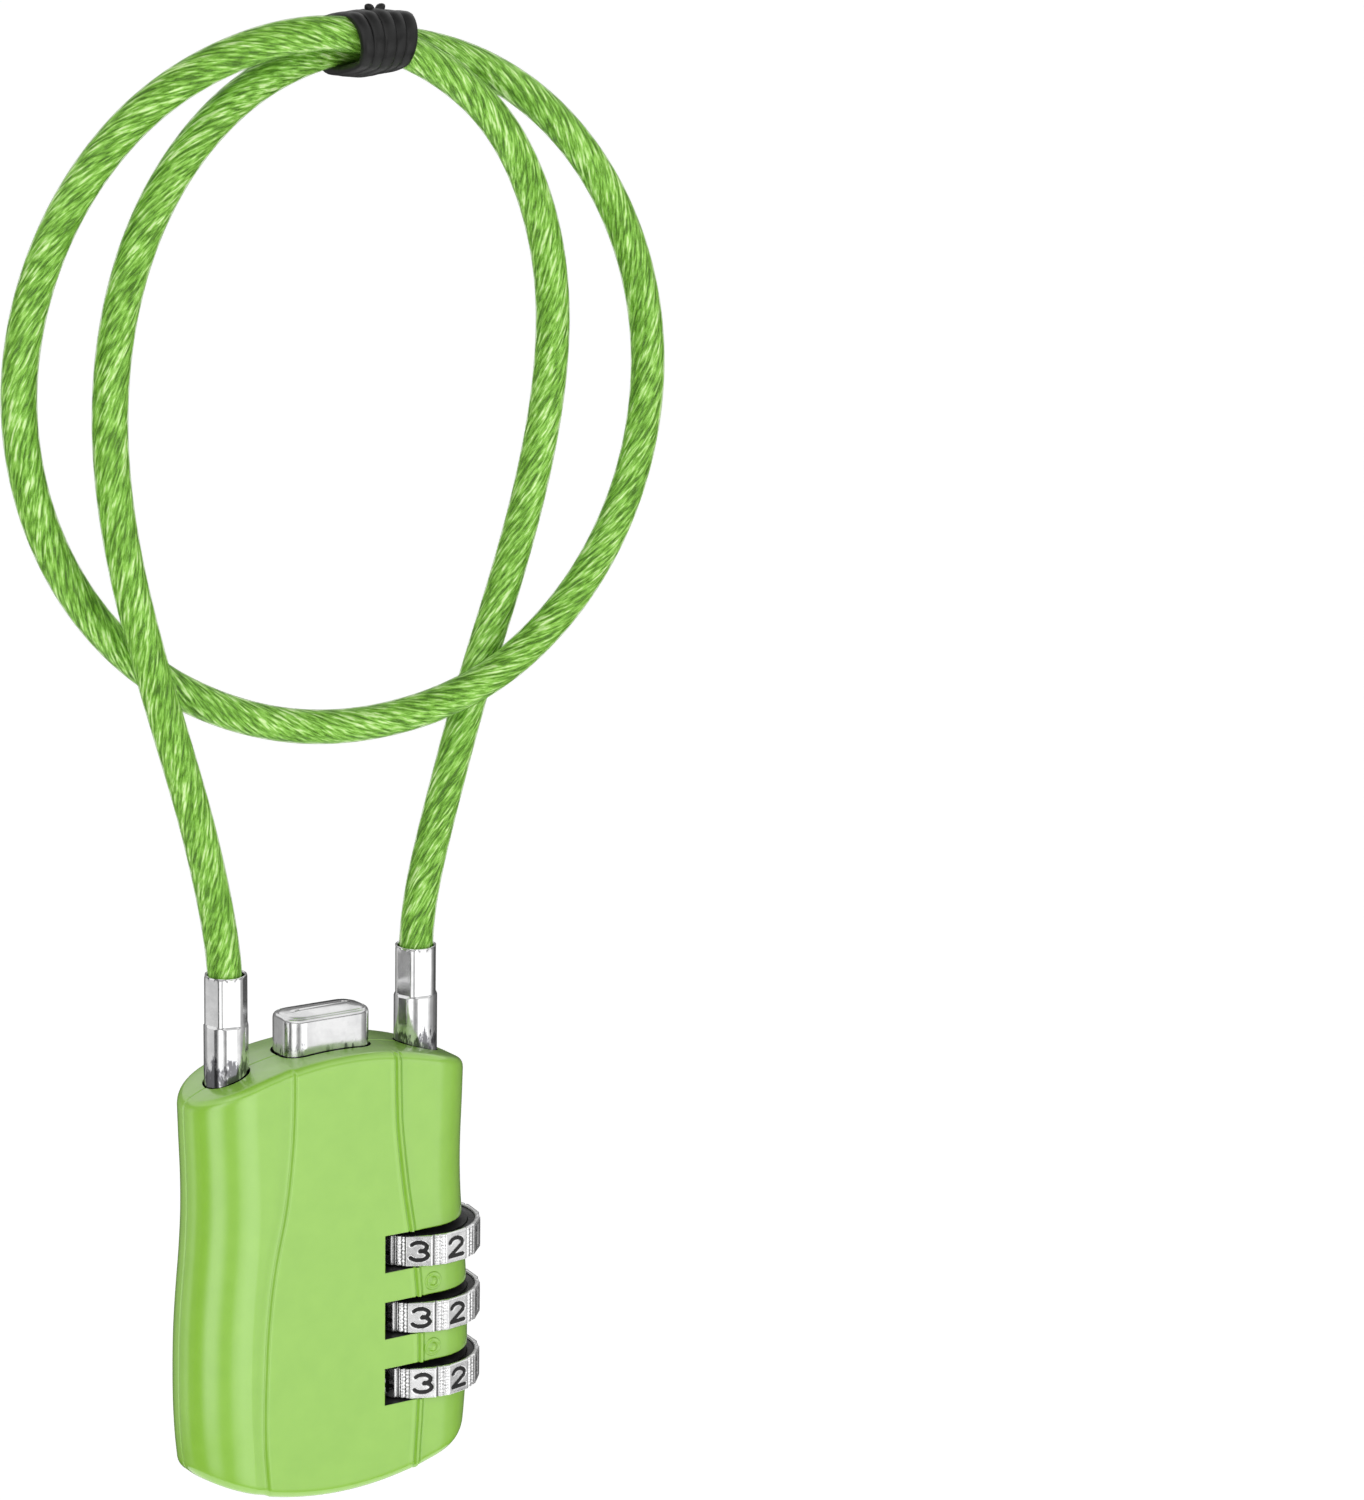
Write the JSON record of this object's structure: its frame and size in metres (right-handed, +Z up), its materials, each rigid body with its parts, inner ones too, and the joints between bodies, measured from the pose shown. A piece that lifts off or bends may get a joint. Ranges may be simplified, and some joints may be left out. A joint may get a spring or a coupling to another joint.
{
  "type": "luggage combination padlock",
  "caption": "Flat palm-size combination padlock with a coated steel cable coiled into a hanging loop, number dials at one edge and a top release button.",
  "frame": {"origin": "hanging point at the underside of the top of the cable's coil, on the middle plane of the case", "axes": "+Z up along the case, +X towards the edge with the dials, -Y out of the front face"},
  "size_m": [0.0741, 0.0138, 0.1523],
  "materials": {
    "green_paint": "glossy pearl yellow-green paint on die-cast zinc",
    "chrome": "bright plated zinc",
    "steel": "plain",
    "spring_steel": "blued",
    "brass": "turned",
    "black_plastic": "black moulded",
    "clear_green": "clear green soft jacket",
    "rope_steel": "twisted strands",
    "black_rubber": "black elastic band"
  },
  "bodies": {
    "lock_case": {"front_shell": "green_paint", "rear_shell": "green_paint", "case_rivet_1": "steel", "case_rivet_2": "steel", "case_rivet_3": "steel", "case_rivet_4": "steel", "guide_plate": "steel", "captive_ferrule": "chrome", "anchor_pin": "steel", "anchor_clip": "spring_steel", "click_spring": "spring_steel", "spacer_top": "brass", "spacer_upper": "brass", "spacer_lower": "brass", "spacer_bottom": "brass", "button_spring": "spring_steel", "cable_jacket": "clear_green", "steel_rope": "rope_steel", "cable_tie": "black_rubber"},
    "free_end": {"free_ferrule": "chrome", "locking_pin": "steel"},
    "release": {"release_button": "chrome", "slider_plate": "steel", "spindle": "steel"},
    "latch": {"latch_bolt": "steel"},
    "dial_a": {"dial_1": "chrome", "dial_core_1": "black_plastic"},
    "dial_b": {"dial_2": "chrome", "dial_core_2": "black_plastic"},
    "dial_c": {"dial_3": "chrome", "dial_core_3": "black_plastic"}
  },
  "joints": [
    {"name": "dial_1_spin", "type": "hinge", "parent": "lock_case", "child": "dial_a", "pos_m": [0.0111, 0, -0.1201], "axis": [0, 0, 1], "continuous": true},
    {"name": "dial_2_spin", "type": "hinge", "parent": "lock_case", "child": "dial_b", "pos_m": [0.0111, 0, -0.1273], "axis": [0, 0, 1], "continuous": true},
    {"name": "dial_3_spin", "type": "hinge", "parent": "lock_case", "child": "dial_c", "pos_m": [0.0111, 0, -0.1345], "axis": [0, 0, 1], "continuous": true},
    {"name": "button_press", "type": "slide", "parent": "lock_case", "child": "release", "axis": [0, 0, -1], "range_m": [0, 0.0025], "stiffness_N_per_m": 500, "springref_m": -0.002, "deforming": ["button_spring"]},
    {"name": "latch_slide", "type": "slide", "parent": "lock_case", "child": "latch", "axis": [1, 0, 0], "range_m": [0, 0.0025]},
    {"name": "free_end_slide", "type": "slide", "parent": "lock_case", "child": "free_end", "axis": [0, 0, 1], "range_m": [0, 0.015], "deforming": ["cable_jacket", "steel_rope"]}
  ],
  "couplings": [
    {"joint": "latch_slide", "follows": "button_press", "ratio": 1}
  ]
}
